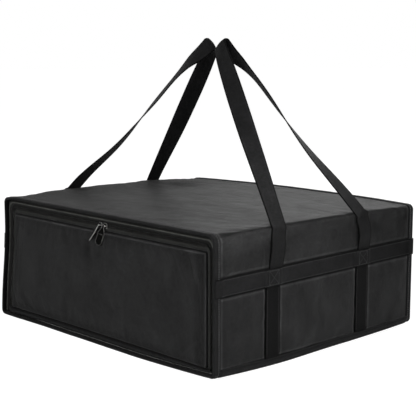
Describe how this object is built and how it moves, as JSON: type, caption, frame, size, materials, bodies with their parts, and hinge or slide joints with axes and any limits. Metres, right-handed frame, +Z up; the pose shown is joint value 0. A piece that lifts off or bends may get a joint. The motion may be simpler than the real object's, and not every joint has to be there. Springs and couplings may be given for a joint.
{
  "type": "insulated pizza delivery bag",
  "caption": "Soft insulated carrier bag for flat food boxes, with a foam core, a foil lining, a zipped front flap that drops open and two long webbing carry handles.",
  "frame": {"origin": "on the floor, in the middle of the bag's footprint", "axes": "+Z up out of the lid, -Y out of the zipped front, +X out of the side that is on the right when the front is faced"},
  "size_m": [0.4988, 0.42, 0.439],
  "materials": {
    "outer_cloth": "matte",
    "binding_tape": "matte",
    "zip_tape": "matte",
    "zip_coil": "satin",
    "black_metal": "satin",
    "webbing": "matte",
    "foil": "satin",
    "foam": "matte"
  },
  "bodies": {
    "bag_body": {"outer_wrap": "outer_cloth", "base_panel": "outer_cloth", "back_panel": "outer_cloth", "top_foam": "foam", "left_foam": "foam", "right_foam": "foam", "base_foam": "foam", "back_foam": "foam", "foil_liner": "foil", "front_rim_binding": "binding_tape", "back_binding": "binding_tape", "left_base_binding": "binding_tape", "right_base_binding": "binding_tape", "flap_hinge": "binding_tape", "body_zip_tape": "zip_tape", "body_zip_coil": "zip_coil", "left_side_band": "webbing", "left_front_strap": "webbing", "left_back_strap": "webbing", "right_side_band": "webbing", "right_front_strap": "webbing", "right_back_strap": "webbing"},
    "front_flap": {"flap_cover": "outer_cloth", "flap_foam": "foam", "flap_liner": "foil", "flap_zip_tape": "zip_tape", "flap_zip_coil": "zip_coil"},
    "left_slider": {"left_zip_slider": "black_metal"},
    "right_slider": {"right_zip_slider": "black_metal"},
    "left_pull": {"left_zip_pull": "black_metal"},
    "right_pull": {"right_zip_pull": "black_metal"},
    "left_carry_handle": {"left_handle": "webbing"},
    "right_carry_handle": {"right_handle": "webbing"}
  },
  "joints": [
    {"name": "flap_open", "type": "hinge", "parent": "bag_body", "child": "front_flap", "pos_m": [0, -0.2042, 0.01485], "axis": [1, 0, 0], "range_deg": [0, 90]},
    {"name": "left_slider_travel", "type": "slide", "parent": "front_flap", "child": "left_slider", "axis": [-1, 0, 0], "range_m": [0, 0.205]},
    {"name": "right_slider_travel", "type": "slide", "parent": "front_flap", "child": "right_slider", "axis": [1, 0, 0], "range_m": [0, 0.205]},
    {"name": "left_pull_swing", "type": "hinge", "parent": "left_slider", "child": "left_pull", "pos_m": [-0.0056, -0.2078, 0.17405], "axis": [-1, 0, 0], "range_deg": [0, 150]},
    {"name": "right_pull_swing", "type": "hinge", "parent": "right_slider", "child": "right_pull", "pos_m": [0.0056, -0.2078, 0.17405], "axis": [-1, 0, 0], "range_deg": [0, 150]},
    {"name": "left_handle_swing", "type": "hinge", "parent": "bag_body", "child": "left_carry_handle", "pos_m": [-0.2486, 0, 0.132], "axis": [0, -1, 0], "range_deg": [0, 142]},
    {"name": "right_handle_swing", "type": "hinge", "parent": "bag_body", "child": "right_carry_handle", "pos_m": [0.2486, 0, 0.132], "axis": [0, 1, 0], "range_deg": [0, 142]}
  ]
}
